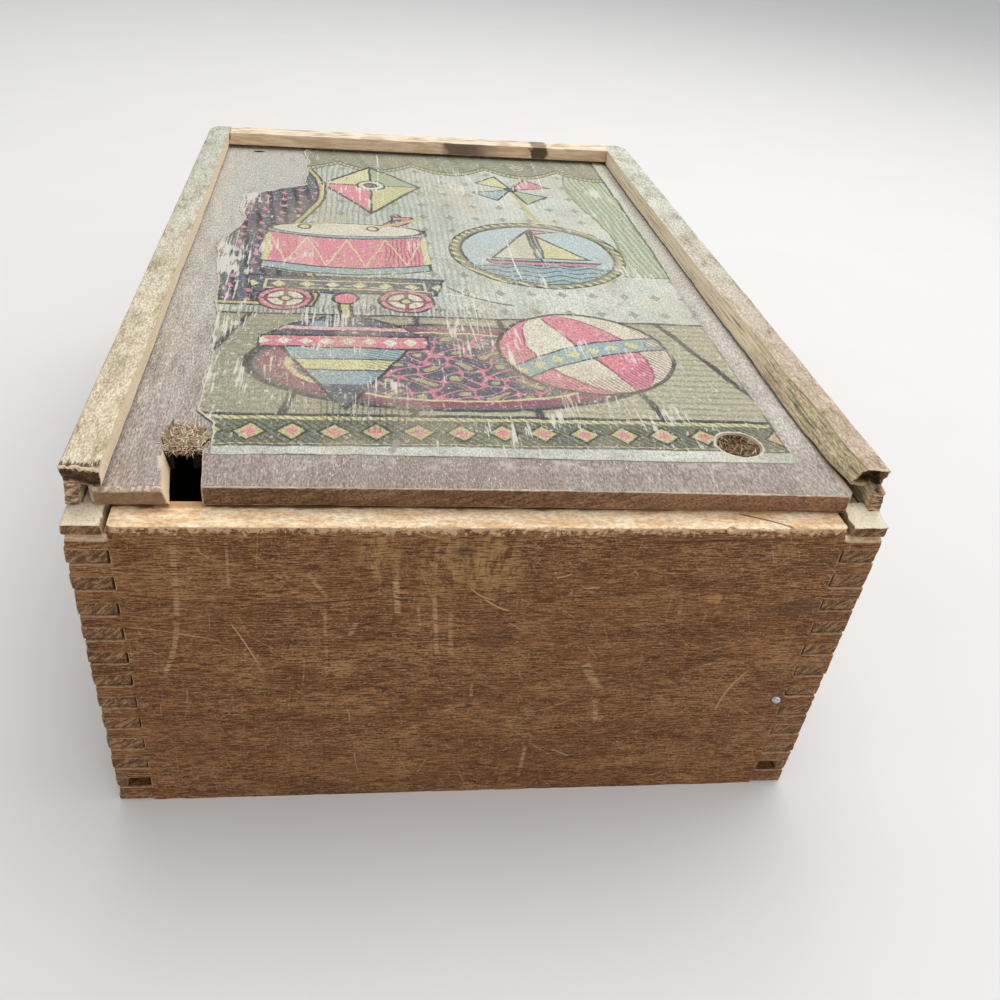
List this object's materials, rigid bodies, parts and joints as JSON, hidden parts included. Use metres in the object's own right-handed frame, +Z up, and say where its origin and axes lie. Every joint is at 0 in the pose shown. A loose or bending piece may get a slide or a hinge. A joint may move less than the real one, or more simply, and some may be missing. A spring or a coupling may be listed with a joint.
{
  "type": "toy box with a sliding lid",
  "caption": "Old wooden toy box: finger-jointed boards, a grooved-in bottom, and a worn sliding lid with a torn paper print and a broken finger slot.",
  "frame": {"origin": "middle of the base, on the surface that the box stands on", "axes": "+Z up, +Y towards the back board, away from the open end that the lid slides out of, +X to the right"},
  "size_m": [0.2, 0.296, 0.1124],
  "materials": {
    "side_wood": "weathered bare wood, grey-tan on top and brown on the faces",
    "end_wood": "handled brown wood with fine level grain, scratches and pale worn edges",
    "bottom_wood": "thin bare board, dusty",
    "lid_wood": "dry grey-brown wood with grain along its length and bright chipped edges",
    "paper": "thin pasted paper with a faded, scuffed colour print",
    "torn_wood": "torn brown wood fibre",
    "steel": "bright worn wire brad with a dull rim"
  },
  "bodies": {
    "box": {"left_side": "side_wood", "right_side": "side_wood", "front_board": "end_wood", "back_board": "end_wood", "bottom_board": "bottom_wood", "corner_brad": "steel"},
    "lid": {"lid": "lid_wood", "lid_print": "paper", "left_peg_stub": "torn_wood", "right_peg_stub": "torn_wood"}
  },
  "joints": [
    {"name": "lid_slide", "type": "slide", "parent": "box", "child": "lid", "axis": [0, -1, 0], "range_m": [0, 0.3]}
  ]
}
